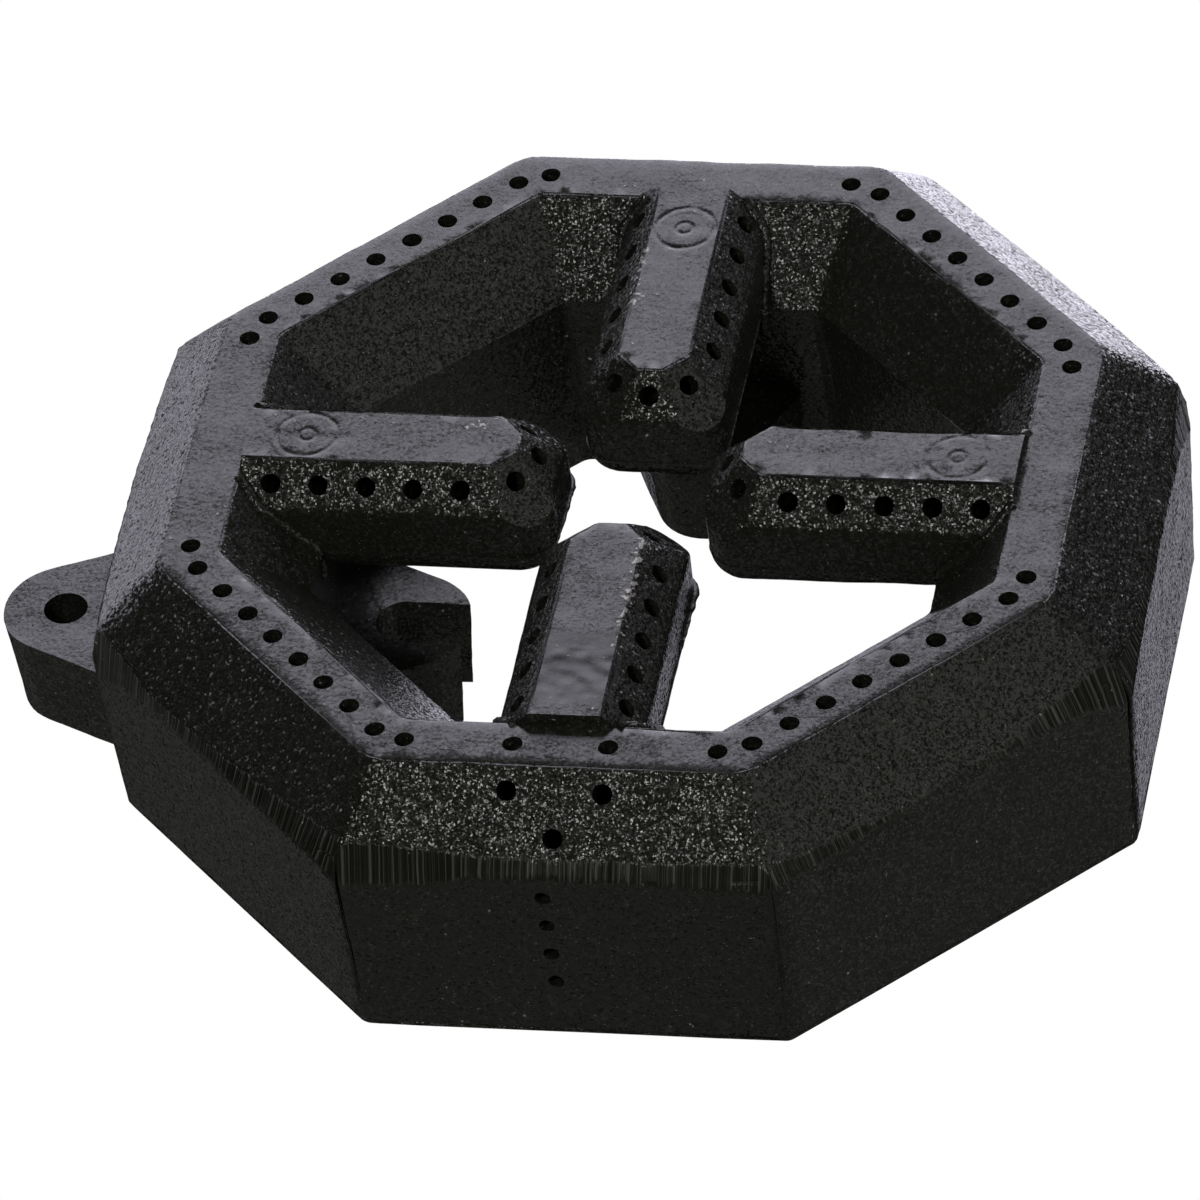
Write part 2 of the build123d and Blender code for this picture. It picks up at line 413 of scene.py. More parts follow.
def ground_reach(angle, place):
    """How far the ground flat of a side goes up the bevel and down the wall, at places along the side."""
    places, above, below = np.array(GROUND_FLATS[angle]).T * MM
    slow, quick = RAGGED_WAVES
    ragged = np.sin(place / MM * slow + angle) + np.sin(place / MM * quick - angle)
    rise = np.interp(place, places, above) + RAGGED_RISE * ragged
    fall = np.interp(place, places, below) + RAGGED_FALL * ragged
    return rise, fall


def ground_lines(casting):
    """Upper and lower edges of the ground flats, as rows of points."""
    apothem = casting.across_flats / 2
    half_side = apothem * math.tan(math.pi / SIDES)
    place = np.arange(-half_side, half_side, casting.edge_spacing)
    lines = []
    for angle in GROUND_FLATS:
        rise, fall = ground_reach(angle, place)
        for reach, height in (
            (apothem - rise, casting.parting_height + rise),
            (apothem - casting.wall_draw * fall / casting.parting_height, casting.parting_height - fall),
        ):
            line = np.outer(reach, facing(angle)) + np.outer(place, facing(angle + 90.0))
            line[:, 2] = height
            lines.append(line)
    return lines


def find_soft_edges(grid, in_wide, casting):
    """Convex edges that the sand rounded, and the way each of their ends moves in."""
    soft = set()
    pulls = {}
    for edge in grid.edges:
        faces = edge.link_faces
        if len(faces) != 2 or not all(face in in_wide for face in faces):
            continue
        bend = edge.calc_face_angle_signed()
        at_parting = all(abs(vert.co.z - casting.parting_height) < 0.1 * MM for vert in edge.verts)
        if at_parting or not SOFT_BENDS[0] <= bend <= SOFT_BENDS[1]:
            continue
        soft.add(edge)
        for vert in edge.verts:
            pulls[vert] = pulls.get(vert, Vector()) - faces[0].normal - faces[1].normal
    return soft, pulls


class FlatSheet:
    """A flat group of faces laid out in its own plane, in millimetres."""

    def __init__(self, region):
        self.region = region
        self.normal = region[0].normal.copy()
        self.origin = region[0].verts[0].co.copy()
        self.across = self.normal.orthogonal().normalized()
        self.along = self.normal.cross(self.across)
        members = set(region)
        every_edge = [edge for face in region for edge in face.edges]
        rim = [edge for edge in every_edge if sum(face in members for face in edge.link_faces) == 1]
        self.rim = rim
        self.corners = list({vert: None for edge in rim for vert in edge.verts})
        number = {vert: place for place, vert in enumerate(self.corners)}
        self.flat = self.lay_flat(np.array([vert.co for vert in self.corners]))
        self.pairs = [(number[edge.verts[0]], number[edge.verts[1]]) for edge in rim]
        self.rim_size = len(self.pairs)
        self.inner = np.zeros((0, 2))

    def lay_flat(self, points):
        """Places of points in the sheet's own plane."""
        away = (points - np.array(self.origin)) / MM
        return np.stack([away @ np.array(self.across), away @ np.array(self.along)], axis=1)

    def in_space(self, points):
        """Places in space of flat points."""
        place = np.outer(points[:, 0], self.across) + np.outer(points[:, 1], self.along)
        return place * MM + np.array(self.origin)

    def holds(self, points):
        """For each flat point, whether an odd number of the outline's edges lies to its right."""
        odd = np.zeros(len(points), dtype=bool)
        for first, second in self.pairs[:self.rim_size]:
            start, end = self.flat[first], self.flat[second]
            if start[1] == end[1]:
                continue
            crosses = (start[1] > points[:, 1]) != (end[1] > points[:, 1])
            at = start[0] + (points[:, 1] - start[1]) * (end[0] - start[0]) / (end[1] - start[1])
            odd ^= crosses & (points[:, 0] < at)
        return odd

    def add_line(self, line):
        """Takes the part of a row of points that lies in the sheet as a line of edges."""
        level = np.abs((line - np.array(self.origin)) @ np.array(self.normal)) < 0.05 * MM
        if np.count_nonzero(level) < 2:
            return
        near = near_finder(self.flat)
        points = self.lay_flat(line)
        usable = level & self.holds(points)
        added = []
        before = None
        for point, use in zip(points, usable):
            if not use or near.find((point[0], point[1], 0.0))[2] < LINE_CLEARANCE:
                before = None
                continue
            now = len(self.flat) + len(self.inner) + len(added)
            if before is not None:
                self.pairs.append((before, now))
            before = now
            added.append(point)
        self.inner = np.concatenate([self.inner, np.array(added).reshape(-1, 2)])

    def add_soft_rows(self, soft, width):
        """Adds a row of points beside each rounded edge, so that the rounding stays narrow."""
        rows = []
        for edge in self.rim:
            if edge not in soft:
                continue
            start, end = edge.verts[0].co, edge.verts[1].co
            inward = self.normal.cross(end - start).normalized() * width
            middle = np.array([(start + end) / 2 + inward * 0.2])
            if not self.holds(self.lay_flat(middle))[0]:
                inward = -inward
            rows.append((start + end) / 2 + inward)
        if not rows:
            return
        near = near_finder(self.flat)
        points = self.lay_flat(np.array(rows))
        points = points[self.holds(points)]
        kept = [point for point in points if near.find((point[0], point[1], 0.0))[2] > 0.8 * width / MM]
        self.inner = np.concatenate([self.inner, np.array(kept).reshape(-1, 2)])

    def add_grid(self, casting, random):
        """Adds even points, clear of the outline and of the lines."""
        near = near_finder(np.concatenate([self.flat, self.inner]))
        for spacing in (casting.mesh_spacing, casting.edge_spacing, casting.mark_spacing):
            points = even_points(self.flat.min(axis=0), self.flat.max(axis=0), spacing / MM, random)
            points = points[np.isclose(spacing_at(self.in_space(points), casting), spacing)]
            points = points[self.holds(points)]
            clear = GRID_CLEARANCE * spacing / MM
            kept = [point for point in points if near.find((point[0], point[1], 0.0))[2] > clear]
            self.inner = np.concatenate([self.inner, np.array(kept).reshape(-1, 2)])

    def fill(self, grid):
        """Puts triangles in place of the faces."""
        verts = self.corners + [grid.verts.new(place) for place in self.in_space(self.inner)]
        points = [Vector(point) for point in np.concatenate([self.flat, self.inner])]
        found, _, triangles, sources, _, _ = delaunay_2d_cdt(points, self.pairs, [], 0, 1e-7)
        ends = np.array(found)[np.array(triangles)]
        sides = np.roll(ends, -1, axis=1) - ends
        doubled_area = np.abs(sides[:, 0, 0] * sides[:, 1, 1] - sides[:, 0, 1] * sides[:, 1, 0])
        thickness = doubled_area / np.linalg.norm(sides, axis=2).max(axis=1)
        kept = (thickness > 1e-4) & self.holds(ends.mean(axis=1))
        for face in self.region:
            grid.faces.remove(face)
        for triangle, keep in zip(triangles, kept):
            if keep:
                grid.faces.new([verts[sources[corner][0]] for corner in triangle])


def refined_casting(casting):
    """A finer copy of the CAD casting: even triangles on its outer faces, the gas chamber left as it is."""
    random = np.random.default_rng(SEED)
    grid = bmesh.new()
    grid.from_mesh(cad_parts[NODE].data)
    bmesh.ops.remove_doubles(grid, verts=grid.verts, dist=MERGE_DISTANCE)
    bmesh.ops.dissolve_degenerate(grid, edges=grid.edges, dist=THIN_EDGE)
    grid.normal_update()
    tree = BVHTree.FromBMesh(grid)
    rays = [Vector(ray).normalized() for ray in random.normal(size=(SKY_RAYS, 3))]
    regions = flat_regions(grid)
    outer = [region for region in regions if is_outside(tree, region, rays)]
    wide = [region for region in outer if sum(face.calc_area() for face in region) > WIDE_AREA]
    in_wide = {face for region in wide for face in region}
    place_of = {face: number for number, region in enumerate(regions) for face in region}
    outer_faces = {face for region in outer for face in region}
    long_edges = []
    for edge in grid.edges:
        faces = edge.link_faces
        if len({place_of[face] for face in faces}) < 2 or not any(face in outer_faces for face in faces):
            continue
        if edge.calc_length() < LONG_EDGE and not any(face in in_wide for face in faces):
            continue
        long_edges.append(edge)
    middles = np.array([(edge.verts[0].co + edge.verts[1].co) / 2 for edge in long_edges])
    for edge, spacing in zip(long_edges, spacing_at(middles, casting)):
        split_edge(edge, spacing)
    soft, pulls = find_soft_edges(grid, in_wide, casting)
    lines = ground_lines(casting)
    for region in wide:
        sheet = FlatSheet(region)
        sheet.add_soft_rows(soft, casting.soft_width)
        for line in lines:
            sheet.add_line(line)
        sheet.add_grid(casting, random)
        sheet.fill(grid)
    grid.normal_update()
    for face in [face for face in grid.faces if len(face.verts) > 3]:
        FlatSheet([face]).fill(grid)
    loose = [edge for edge in grid.edges if not edge.link_faces]
    bmesh.ops.delete(grid, geom=loose, context="EDGES")
    bmesh.ops.delete(grid, geom=[vert for vert in grid.verts if not vert.link_faces], context="VERTS")
    for vert, pull in pulls.items():
        vert.co += pull.normalized() * casting.soft_depth
    grid.verts.index_update()
    return grid


# Marks of the foundry on the casting

def round_corners(points, casting):
    """Rounds the upright corners of the wall and of the outer bevel."""
    apothem = casting.across_flats / 2
    above = points[:, 2] - casting.parting_height
    lean = casting.wall_draw / casting.parting_height
    local_apothem = apothem + np.where(above > 0.0, -above, above * lean)
    half_turn = math.pi / SIDES
    for angle in GROUND_FLATS:
        corner = facing(angle + math.degrees(half_turn))
        centre = np.outer((local_apothem - casting.corner_radius) / math.cos(half_turn), corner)
        away = points - centre
        away[:, 2] = 0.0
        distance = np.linalg.norm(away, axis=1)
        in_wedge = away @ corner > distance * math.cos(half_turn)
        outside = in_wedge & (distance > casting.corner_radius)
        pull = np.where(outside, casting.corner_radius / np.maximum(distance, 1e-9), 1.0)
        points[:] += away * (pull - 1.0)[:, None]


def grind(points, casting):
    """Cuts the ground flats into the parting edge, and gives each point's ground share and place along its side."""
    apothem = casting.across_flats / 2
    half_side = apothem * math.tan(math.pi / SIDES)
    ground = np.zeros(len(points))
    best_reach = np.zeros(len(points))
    along_side = np.zeros(len(points))
    for angle in GROUND_FLATS:
        outward = facing(angle)
        along = facing(angle + 90.0)
        place = points @ along
        reach = points @ outward
        along_side = np.where(reach > best_reach, place + angle * MM, along_side)
        best_reach = np.maximum(best_reach, reach)
        rise, fall = ground_reach(angle, place)
        low = casting.parting_height - fall
        high = casting.parting_height + rise
        low_reach = apothem - casting.wall_draw * fall / casting.parting_height
        share = (points[:, 2] - low) / (high - low)
        limit = low_reach + share * (apothem - rise - low_reach)
        on_flat = (share > 0.0) & (share < 1.0) & (np.abs(place) < half_side + 3.0 * MM)
        over = np.maximum(np.where(on_flat, reach - limit, 0.0), 0.0)
        points -= over[:, None] * outward
        ground = np.maximum(ground, np.clip(over / (0.1 * MM), 0.0, 1.0))
    return ground, along_side


def press_marks(points, casting):
    """Depth of the core support marks at each point."""
    depth = np.zeros(len(points))
    ring_width = 0.34 * MM
    centre_width = 0.3 * MM
    on_top = points[:, 2] > casting.land_height + 1.9 * MM
    for angle, strength in CORE_MARKS.items():
        away = (points - facing(angle) * casting.mark_radius)[:, :2]
        distance = np.linalg.norm(away, axis=1)
        turn = np.arctan2(away[:, 1], away[:, 0])
        broken = 0.62 + 0.38 * np.sin(turn * 2.0 + angle) * np.sin(turn * 5.0 + 1.0)
        ring = np.exp(-((distance - casting.mark_ring) / ring_width) ** 2) * broken
        centre = np.exp(-((distance - casting.mark_centre) / centre_width) ** 2) * 0.7
        depth += np.where(on_top, (ring + centre) * strength * casting.mark_depth, 0.0)
    return depth


def distance_to_path(places, path):
    """Distance of flat places from a path of straight runs."""
    nearest = np.full(len(places), np.inf)
    for start, end in zip(path, path[1:]):
        run = np.subtract(end, start)
        share = np.clip((places - start) @ run / (run @ run), 0.0, 1.0)
        nearest = np.minimum(nearest, np.linalg.norm(places - start - share[:, None] * run, axis=1))
    return nearest


def wash(points, casting):
    """Moves the front right wall where the mould was washed: in along the groove, out along the ridge."""
    outward = facing(WASH_SIDE)
    reach = points @ outward
    below = casting.parting_height - points[:, 2]
    on_wall = (below > -0.1 * MM) & (reach > casting.across_flats / 2 - 2.0 * MM)
    places = np.stack([points @ facing(WASH_SIDE + 90.0), below], axis=1) / MM
    groove = np.exp(-(distance_to_path(places, WASH_GROOVE) / GROOVE_WIDTH) ** 2)
    ridge = np.exp(-(distance_to_path(places, WASH_RIDGE) / RIDGE_WIDTH) ** 2)
    move = (RIDGE_HEIGHT * ridge - GROOVE_DEPTH * groove) * MM
    points += np.outer(np.where(on_wall, move, 0.0), outward)


def worn_places(points, casting):
    """How far each point of the finger tops is rubbed smooth, and how far it shows bare iron."""
    on_top = points[:, 2] > casting.land_height + 1.4 * MM
    places = points[:, :2] / MM
    middle, half = RUBBED_PLACE
    off = np.max(np.abs(places - middle) / half, axis=1)
    rubbed = np.where(on_top, np.clip((1.15 - off) / 0.15, 0.0, 1.0), 0.0)
    away = np.min([distance_to_path(places, edge) for edge in BARE_EDGES], axis=0)
    bare = np.where(on_top, np.exp(-(away / 0.9) ** 2), 0.0)
    return rubbed, bare


def settle(points, casting):
    """Moves points as the sand gave way and the iron shrank, inside the CAD box."""
    points *= 1.0 - casting.shrinkage
    noise.seed_set(SEED)
    for number, point in enumerate(points):
        broad = noise.noise_vector(Vector(point) * BROAD_WAVES)
        fine = noise.noise_vector(Vector(point) * FINE_WAVES)
        points[number] += (BROAD_SHARE * broad + FINE_SHARE * fine) * casting.unevenness
    np.clip(points, CAD_LOW, CAD_HIGH, out=points)


# Flash along the parting line and beads at the finger roots

def parting_contour(height):
    """Outline of the burner's opening and its fingers at a height, as a closed row of points."""
    grid = bmesh.new()
    grid.from_mesh(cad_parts[NODE].data)
    bmesh.ops.remove_doubles(grid, verts=grid.verts, dist=MERGE_DISTANCE)
    everything = [*grid.verts, *grid.edges, *grid.faces]
    cut = bmesh.ops.bisect_plane(grid, geom=everything, plane_co=(0.0, 0.0, height), plane_no=(0.0, 0.0, 1.0))
    edges = [item for item in cut["geom_cut"] if isinstance(item, bmesh.types.BMEdge)]
    ways = {}
    for edge in edges:
        for vert in edge.verts:
            ways.setdefault(vert, []).append(edge.other_vert(vert))
    rings = []
    while ways:
        ring = [next(iter(ways))]
        while ring[-1] in ways:
            onward = [vert for vert in ways.pop(ring[-1]) if vert in ways]
            if onward:
                ring.append(onward[0])
        rings.append(np.array([vert.co for vert in ring]))
    grid.free()
    closed = [ring for ring in rings if goes_round_axis(ring)]
    return min(closed, key=lambda ring: np.abs(ring).sum(axis=1).mean())


def goes_round_axis(ring):
    """Whether a closed row of points goes once round the vertical axis."""
    angles = np.unwrap(np.arctan2(ring[:, 1], ring[:, 0]))
    return abs(angles[-1] - angles[0]) > 0.95 * math.tau


def root_paths():
    """Lines along which the fingers meet the ring, from the land down to the finger's underside."""
    paths = []
    for angle in CORE_MARKS:
        for hand in (-1.0, 1.0):
            path = [
                facing(angle) * along + facing(angle + 90.0) * across * hand + np.array((0.0, 0.0, height))
                for along, across, height in ROOT_LINE
            ]
            paths.append(np.array(path) * MM)
    return paths


def flash_swell(contour):
    """Share of its full width that the flash has at each point of the parting line."""
    swell = np.full(len(contour), USUAL_SWELL)
    for across, along, reach, times in FLASH_SWELLS:
        distance = np.linalg.norm(contour[:, :2] / MM - (across, along), axis=1)
        swell += times * np.exp(-(distance / reach) ** 2)
    return np.maximum(swell, LEAST_SWELL)


def guide_mesh(name, paths, closed=False):
    """Mesh of bare edges along some paths."""
    points, edges = [], []
    for path in paths:
        first = len(points)
        points.extend(path.tolist())
        edges.extend((number, number + 1) for number in range(first, len(points) - 1))
        if closed:
            edges.append((len(points) - 1, first))
    mesh = bpy.data.meshes.new(name)
    mesh.from_pydata(points, edges, [])
    return mesh


def ragged_sweep():
    """Geometry nodes that sweep a flat round profile along edges, with a ragged width."""
    tree = bpy.data.node_groups.new("ragged_sweep", "GeometryNodeTree")
    numbers = ("Spacing", "Width", "Thickness", "Raggedness", "Seed")
    sockets = {"Path": "NodeSocketGeometry"}
    sockets.update((name, "NodeSocketFloat") for name in numbers)
    sockets["Material"] = "NodeSocketMaterial"
    for name, kind in sockets.items():
        tree.interface.new_socket(name, in_out="INPUT", socket_type=kind)
    tree.interface.new_socket("Sweep", in_out="OUTPUT", socket_type="NodeSocketGeometry")
    desk = NodeDesk(tree)
    given = desk.add("NodeGroupInput").outputs
    curve = desk.add("GeometryNodeMeshToCurve", Mesh=given["Path"]).outputs[0]
    evenly = desk.add("GeometryNodeResampleCurve", {"mode": "LENGTH"}, Curve=curve, Length=given["Spacing"])
    curve = evenly.outputs[0]
    curve = desk.add("GeometryNodeSetCurveNormal", {"mode": "Z_UP"}, Curve=curve).outputs[0]
    swell = desk.add("GeometryNodeInputNamedAttribute", {"data_type": "FLOAT"}, Name="swell").outputs[0]
    place = desk.add("GeometryNodeInputPosition").outputs[0]
    wave = desk.add("ShaderNodeTexNoise", {"noise_dimensions": "4D"}, Vector=place, W=given["Seed"],
                    Scale=450.0, Detail=2.0).outputs[0]
    centred = desk.math("SUBTRACT", desk.math("MULTIPLY", wave, 2.0), 1.0)
    ragged = desk.math("MULTIPLY", centred, given["Raggedness"])
    radius = desk.math("MAXIMUM", desk.math("MULTIPLY", desk.math("ADD", ragged, 1.0), swell), 0.1)
    curve = desk.add("GeometryNodeSetCurveRadius", Curve=curve, Radius=radius).outputs[0]
    flat = desk.add("ShaderNodeCombineXYZ", X=given["Width"], Y=given["Thickness"], Z=1.0).outputs[0]
    profile = desk.add("GeometryNodeCurvePrimitiveCircle", Resolution=8, Radius=1.0).outputs[0]
    profile = desk.add("GeometryNodeTransform", Geometry=profile, Scale=flat).outputs[0]
    sweep = desk.add("GeometryNodeCurveToMesh", Curve=curve, Profile_Curve=profile, Fill_Caps=True)
    if "Scale" in sweep.inputs:
        desk.join(radius, sweep, "Scale")
    solid = desk.add("GeometryNodeRealizeInstances", Geometry=sweep.outputs[0]).outputs[0]
    solid = desk.add("GeometryNodeSetMaterial", Geometry=solid, Material=given["Material"]).outputs[0]
    desk.add("NodeGroupOutput", Sweep=solid)
    return tree


def grow(name, guide, tree, inputs):
    """Plain mesh that a node tree makes from a guide mesh."""
    carrier = bpy.data.objects.new(name, guide)
    bpy.context.scene.collection.objects.link(carrier)
    modifier = carrier.modifiers.new("grow", "NODES")
    modifier.node_group = tree
    for item in tree.interface.items_tree:
        if item.in_out == "INPUT" and item.name in inputs:
            modifier[item.identifier] = inputs[item.name]
    made = carrier.evaluated_get(bpy.context.evaluated_depsgraph_get())
    mesh = bpy.data.meshes.new_from_object(made)
    bpy.data.objects.remove(carrier)
    mesh.name = name
    return mesh


# Materials

class NodeDesk:
    """Adds nodes to a tree and joins them by name."""

    def __init__(self, tree):
        self.tree = tree
        tree.nodes.clear()

    def add(self, kind, settings=(), **inputs):
        node = self.tree.nodes.new(kind)
        for name, value in dict(settings).items():
            setattr(node, name, value)
        for name, value in inputs.items():
            self.join(value, node, name.replace("_", " "))
        return node

    def join(self, value, node, name):
        socket = node.inputs[int(name)] if name.isdigit() else node.inputs[name]
        if isinstance(value, bpy.types.NodeSocket):
            self.tree.links.new(value, socket)
        else:
            socket.default_value = value

    def math(self, operation, first, second=0.0, clamp=False):
        node = self.tree.nodes.new("ShaderNodeMath")
        node.operation = operation
        node.use_clamp = clamp
        self.join(first, node, "0")
        self.join(second, node, "1")
        return node.outputs[0]

    def vector(self, operation, first, second, output=0):
        node = self.tree.nodes.new("ShaderNodeVectorMath")
        node.operation = operation
        self.join(first, node, "0")
        self.join(second, node, "1")
        return node.outputs[output]

    def ramp(self, value, ends):
        node = self.add("ShaderNodeMapRange", {"interpolation_type": "SMOOTHSTEP"}, Value=value)
        node.inputs["From Min"].default_value = ends[0]
        node.inputs["From Max"].default_value = ends[1]
        return node.outputs[0]

    def blend(self, share, first, second):
        node = self.add("ShaderNodeMix", {"data_type": "RGBA"})
        for place, value in ((0, share), (6, first), (7, second)):
            self.join(value, node, str(place))
        return node.outputs[2]


def colour(value):
    """A colour with full cover."""
    return (value[0], value[1], value[2], 1.0)


def cast_iron(iron):
    """Black sand cast iron: pebbly grain, dusty tops, painted glints on some grains, ground flats with upright
    scratches.
    """
    material = bpy.data.materials.new("cast_iron_skin")
    material.use_nodes = True
    desk = NodeDesk(material.node_tree)
    place = desk.add("ShaderNodeTexCoord").outputs["Object"]
    ground = desk.add("ShaderNodeAttribute", {"attribute_name": "ground"}).outputs["Fac"]

    sand = desk.add("ShaderNodeTexNoise", Vector=place, Scale=1.0 / iron.grain_size, Detail=1.0,
                    Roughness=0.5).outputs["Fac"]
    swell = desk.add("ShaderNodeTexNoise", Vector=place, Scale=1.0 / iron.swell_size, Detail=1.0).outputs["Fac"]
    facets = desk.add("ShaderNodeTexVoronoi", {"feature": "F1"}, Vector=place, Scale=1.0 / iron.facet_size)
    facet_kind = desk.add("ShaderNodeSeparateColor", Color=facets.outputs["Color"]).outputs[0]
    from_centre = desk.vector("SUBTRACT", place, facets.outputs["Position"])
    tilt = desk.vector("SUBTRACT", facets.outputs["Color"], (0.5, 0.5, 0.5))
    facet_height = desk.vector("DOT_PRODUCT", from_centre, tilt, output=1)
    rubbed = desk.add("ShaderNodeAttribute", {"attribute_name": "rubbed"}).outputs["Fac"]
    bare = desk.add("ShaderNodeAttribute", {"attribute_name": "bare"}).outputs["Fac"]
    along_side = desk.add("ShaderNodeAttribute", {"attribute_name": "along_side"}).outputs["Fac"]
    scratches = desk.add("ShaderNodeTexNoise", {"noise_dimensions": "1D"}, W=along_side,
                         Scale=1.0 / iron.scratch_size, Detail=2.0, Roughness=0.7).outputs["Fac"]

    up = desk.add("ShaderNodeSeparateXYZ", Vector=desk.add("ShaderNodeTexCoord").outputs["Normal"]).outputs[2]
    worn_top = desk.ramp(up, WORN_TOP)
    grain = desk.math("ADD", desk.math("MULTIPLY", facet_height, iron.facet_tilt),
                      desk.math("MULTIPLY", sand, iron.grain_depth))
    grain = desk.math("ADD", grain, desk.math("MULTIPLY", swell, iron.swell_depth))
    unworn = desk.math("SUBTRACT", 1.0, desk.math("MULTIPLY", worn_top, iron.top_wear))
    grain = desk.math("MULTIPLY", grain, unworn)
    smooth_share = desk.math("MAXIMUM", ground, desk.math("MULTIPLY", rubbed, RUBBED_SHARE))
    rough_share = desk.math("SUBTRACT", 1.0, smooth_share, clamp=True)
    height = desk.math("ADD", desk.math("MULTIPLY", grain, rough_share),
                       desk.math("MULTIPLY", desk.math("MULTIPLY", scratches, ground), iron.scratch_depth))
    bump = desk.add("ShaderNodeBump", Strength=1.0, Distance=1.0, Height=height).outputs[0]

    dust = desk.ramp(sand, DUSTY_SAND)
    skin = desk.blend(dust, colour(iron.iron_colour), colour(iron.dust_colour))
    # Painted glints: light grey dots near the centres of some grains stand in for glints of light, and are left off
    # the evenly lit level tops
    near_glint_centre = desk.math("LESS_THAN", facets.outputs["Distance"], PAINTED_GLINT_REACH)
    painted_glints = desk.math("MULTIPLY", near_glint_centre, desk.math("GREATER_THAN", facet_kind, PAINTED_GLINT_KINDS))
    painted_glints = desk.math("MULTIPLY", painted_glints, desk.math("SUBTRACT", 1.0, worn_top))
    skin = desk.blend(painted_glints, skin, colour(iron.fleck_colour))
    streaks = desk.ramp(scratches, BRIGHT_STREAKS)
    worn = desk.blend(streaks, colour(iron.iron_colour), colour(iron.ground_colour))
    shade = desk.blend(ground, skin, worn)
    chips = desk.ramp(desk.math("ADD", desk.math("MULTIPLY", bare, BARE_PULL), sand), BARE_CHIPS)
    shade = desk.blend(chips, shade, colour(iron.bare_colour))

    surface = desk.add("ShaderNodeBsdfPrincipled", Base_Color=shade, Normal=bump, Roughness=iron.roughness)
    desk.add("ShaderNodeOutputMaterial", Surface=surface.outputs[0])
    return material


def iron_material(context):
    """The one cast iron material of all the pieces."""
    return bpy.data.materials.get("cast_iron_skin") or cast_iron(context.scene.burner_iron)


# Operators

def new_piece(name, mesh, material):
    """An object at the origin that rides with the casting."""
    piece = bpy.data.objects.new(name, mesh)
    bpy.context.scene.collection.objects.link(piece)
    mesh.materials.clear()
    mesh.materials.append(material)
    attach(piece, BODY)
    return piece


class BURNER_OT_casting(bpy.types.Operator):
    """Dress the CAD casting with a sand cast surface, ground flats and core support marks"""
    bl_idname = "burner.casting"
    bl_label = "Casting"

    def execute(self, context):
        casting = context.scene.burner_casting
        grid = refined_casting(casting)
        points = np.array([vert.co for vert in grid.verts])
        triangles = [[vert.index for vert in face.verts] for face in grid.faces]
        grid.free()
        round_corners(points, casting)
        ground, along_side = grind(points, casting)
        wash(points, casting)
        rubbed, bare = worn_places(points, casting)
        points[:, 2] -= press_marks(points, casting)
        settle(points, casting)
        mesh = bpy.data.meshes.new("burner_casting")
        mesh.from_pydata(points.tolist(), [], triangles)
        layers = {"ground": ground, "along_side": along_side, "rubbed": rubbed, "bare": bare}
        for name, values in layers.items():
            layer = mesh.attributes.new(name, "FLOAT", "POINT")
            layer.data.foreach_set("value", values)
        mesh.shade_smooth()
        mesh.set_sharp_from_angle(angle=SHARP_ANGLE)
        piece = new_piece("burner_casting", mesh, iron_material(context))
        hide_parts(NODE)
        return {"FINISHED"}


class BURNER_OT_flash(bpy.types.Operator):
    """Run thin ragged flash along the parting line of the opening and the fingers"""
    bl_idname = "burner.flash"
    bl_label = "Flash"

    def execute(self, context):
        casting = context.scene.burner_casting
        flash = context.scene.burner_flash
        contour = parting_contour(casting.parting_height - FLASH_DROP)
        guide = guide_mesh("flash_guide", [contour], closed=True)
        swell = guide.attributes.new("swell", "FLOAT", "POINT")
        swell.data.foreach_set("value", flash_swell(contour))
        inputs = {
            "Spacing": flash.spacing, "Width": flash.fin_width, "Thickness": flash.fin_thickness,
            "Raggedness": flash.raggedness, "Seed": flash.seed, "Material": iron_material(context),
        }
        mesh = grow("parting_flash", guide, ragged_sweep(), inputs)
        mesh.shade_smooth()
        new_piece("parting_flash", mesh, iron_material(context))
        return {"FINISHED"}


class BURNER_OT_roots(bpy.types.Operator):
    """Lay a bead of iron along each line where a finger meets the ring"""
    bl_idname = "burner.roots"
    bl_label = "Finger Roots"

    def execute(self, context):
        flash = context.scene.burner_flash
        guide = guide_mesh("root_guide", root_paths())
        swell = guide.attributes.new("swell", "FLOAT", "POINT")
        swell.data.foreach_set("value", np.ones(len(guide.vertices)))
        inputs = {
            "Spacing": flash.spacing, "Width": flash.bead_radius, "Thickness": flash.bead_radius,
            "Raggedness": flash.bead_raggedness, "Seed": flash.seed, "Material": iron_material(context),
        }
        mesh = grow("finger_roots", guide, ragged_sweep(), inputs)
        mesh.shade_smooth()
        new_piece("finger_roots", mesh, iron_material(context))
        return {"FINISHED"}


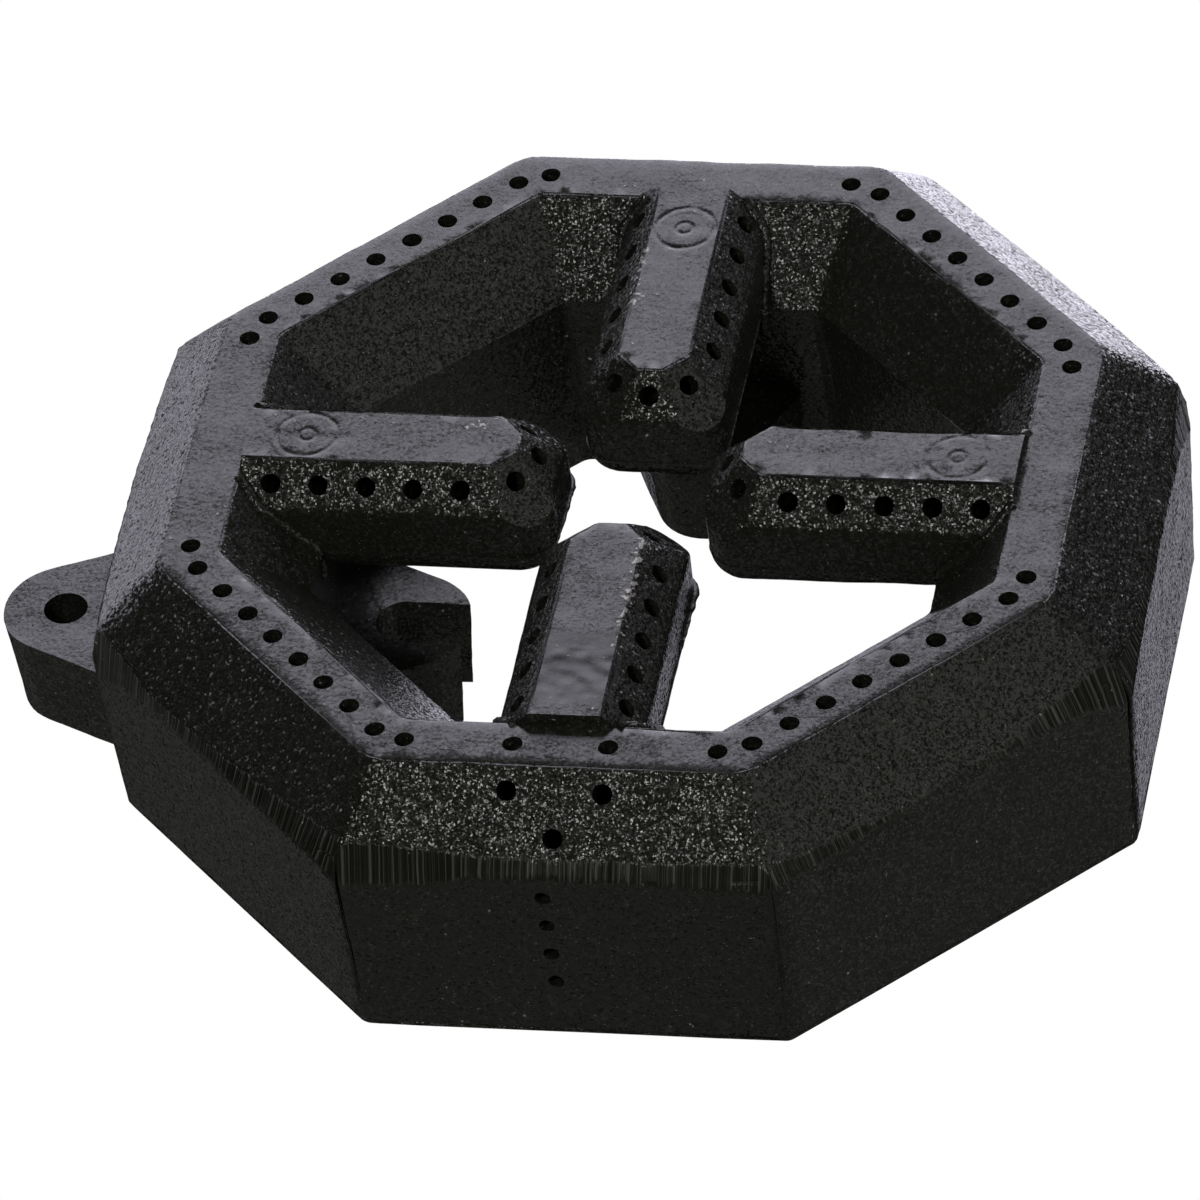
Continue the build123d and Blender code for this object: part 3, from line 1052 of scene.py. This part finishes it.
class BURNER_OT_stage(bpy.types.Operator):
    """Set up the pale floor, the soft light and the camera"""
    bl_idname = "burner.stage"
    bl_label = "Stage"

    def execute(self, context):
        stage = context.scene.burner_stage
        self.add_floor(context, stage)
        self.add_lights(context, stage)
        self.add_camera(context, stage)
        return {"FINISHED"}

    def add_floor(self, context, stage):
        half = stage.floor_size / 2
        mesh = bpy.data.meshes.new("floor")
        corners = [(-half, -half, 0), (half, -half, 0), (half, half, 0), (-half, half, 0)]
        mesh.from_pydata(corners, [], [(0, 1, 2, 3)])
        material = bpy.data.materials.new("floor")
        material.use_nodes = True
        desk = NodeDesk(material.node_tree)
        paper = desk.add("ShaderNodeEmission", Color=colour(stage.floor_colour), Strength=1.0)
        desk.add("ShaderNodeOutputMaterial", Surface=paper.outputs[0])
        mesh.materials.append(material)
        floor = bpy.data.objects.new("floor", mesh)
        context.scene.collection.objects.link(floor)
        floor.visible_glossy = False
        floor.visible_diffuse = False
        floor.visible_shadow = False

    def add_lights(self, context, stage):
        world = bpy.data.worlds.new("pale_room")
        world.use_nodes = True
        desk = NodeDesk(world.node_tree)
        room = desk.add("ShaderNodeBackground", Color=colour(stage.floor_colour), Strength=1.0)
        desk.add("ShaderNodeOutputWorld", Surface=room.outputs[0])
        # The world's visibility can only be set once the scene has it
        context.scene.world = world
        world.cycles_visibility.diffuse = False
        world.cycles_visibility.glossy = False
        context.scene.view_settings.view_transform = "Standard"
        for name, azimuth, elevation, spread, radiance in SOFT_LIGHTS:
            tint = stage.back_tint if name.startswith("back") else stage.front_tint
            self.add_soft_light(context, stage, name, azimuth, elevation, spread, radiance, tint)

    def add_soft_light(self, context, stage, name, azimuth, elevation, spread, radiance, tint):
        way = Vector(facing(azimuth) * math.cos(math.radians(elevation)))
        way.z = math.sin(math.radians(elevation))
        light = bpy.data.lights.new(name, "AREA")
        light.shape = "DISK"
        light.size = 2.0 * stage.light_distance * math.tan(math.radians(spread) / 2)
        light.energy = stage.light_strength * radiance * math.pi ** 2 * (light.size / 2) ** 2
        light.color = tint
        lamp = bpy.data.objects.new(name, light)
        lamp.location = way * stage.light_distance
        lamp.rotation_mode = "QUATERNION"
        lamp.rotation_quaternion = (-way).to_track_quat("-Z", "Y")
        lamp.visible_camera = False
        context.scene.collection.objects.link(lamp)

    def add_camera(self, context, stage):
        camera = bpy.data.cameras.new("camera")
        camera.lens = stage.camera_lens
        camera.sensor_width = 36.0
        camera.clip_end = 50.0
        eye = bpy.data.objects.new("camera", camera)
        eye.location = stage.camera_place
        eye.rotation_mode = "QUATERNION"
        roll = Quaternion((0.0, 0.0, 1.0), stage.camera_roll)
        eye.rotation_quaternion = Vector(stage.camera_axis).to_track_quat("-Z", "Y") @ roll
        context.scene.collection.objects.link(eye)
        context.scene.camera = eye


class BURNER_PT_panel(bpy.types.Panel):
    """Lists the pieces of the burner head"""
    bl_idname = "BURNER_PT_panel"
    bl_label = "Burner Head"
    bl_space_type = "VIEW_3D"
    bl_region_type = "UI"
    bl_category = "Burner Head"

    def draw(self, context):
        for operator in OPERATORS:
            self.layout.operator(operator.bl_idname)
        for group in SETTINGS:
            box = self.layout.box()
            for name in SETTINGS[group].__annotations__:
                box.prop(getattr(context.scene, group), name)


SETTINGS = {
    "burner_casting": BurnerCastingSettings,
    "burner_flash": BurnerFlashSettings,
    "burner_iron": BurnerIronSettings,
    "burner_stage": BurnerStageSettings,
}
OPERATORS = (BURNER_OT_casting, BURNER_OT_flash, BURNER_OT_roots, BURNER_OT_stage)
CLASSES = (*SETTINGS.values(), *OPERATORS, BURNER_PT_panel)


def register():
    for item in CLASSES:
        bpy.utils.register_class(item)
    for name, group in SETTINGS.items():
        setattr(bpy.types.Scene, name, PointerProperty(type=group))


def unregister():
    for name in SETTINGS:
        delattr(bpy.types.Scene, name)
    for item in reversed(CLASSES):
        bpy.utils.unregister_class(item)


def main():
    register()
    bpy.ops.burner.casting()
    bpy.ops.burner.flash()
    bpy.ops.burner.roots()
    bpy.ops.burner.stage()


if __name__ == "__main__":
    main()
